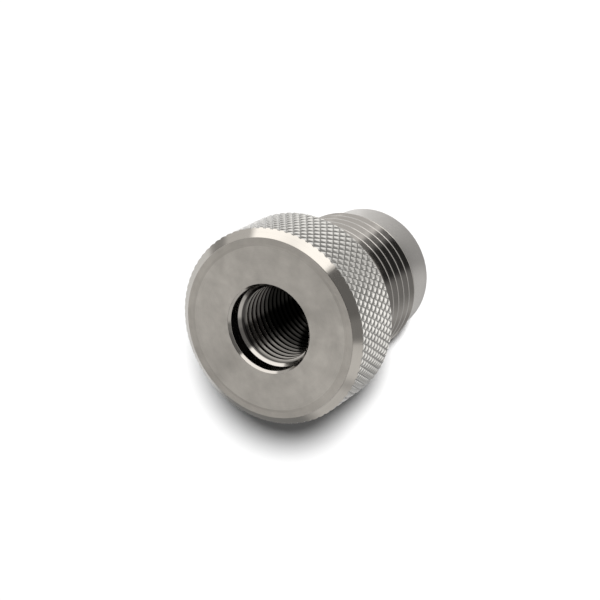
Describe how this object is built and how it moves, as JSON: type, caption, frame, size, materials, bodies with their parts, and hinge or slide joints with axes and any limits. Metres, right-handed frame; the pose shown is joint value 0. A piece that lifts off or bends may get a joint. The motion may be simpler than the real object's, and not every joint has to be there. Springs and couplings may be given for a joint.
{
  "type": "threaded adapter",
  "caption": "Turned stainless steel adapter with a diamond-knurled head, a female thread in its recessed face, a larger male thread below the head and a plain nose.",
  "frame": {"origin": "centre of the nose's flat end, which is what the adapter stands on", "axes": "+Z along the turning axis, up through the nose, the male thread and the head to the open face; X and Y are equal across it"},
  "size_m": [0.024, 0.024, 0.027],
  "materials": {
    "stainless_steel": "fine-turned faces, crisp bright knurl and threads"
  },
  "bodies": {
    "root": {"adapter_body": "stainless_steel"}
  },
  "joints": []
}
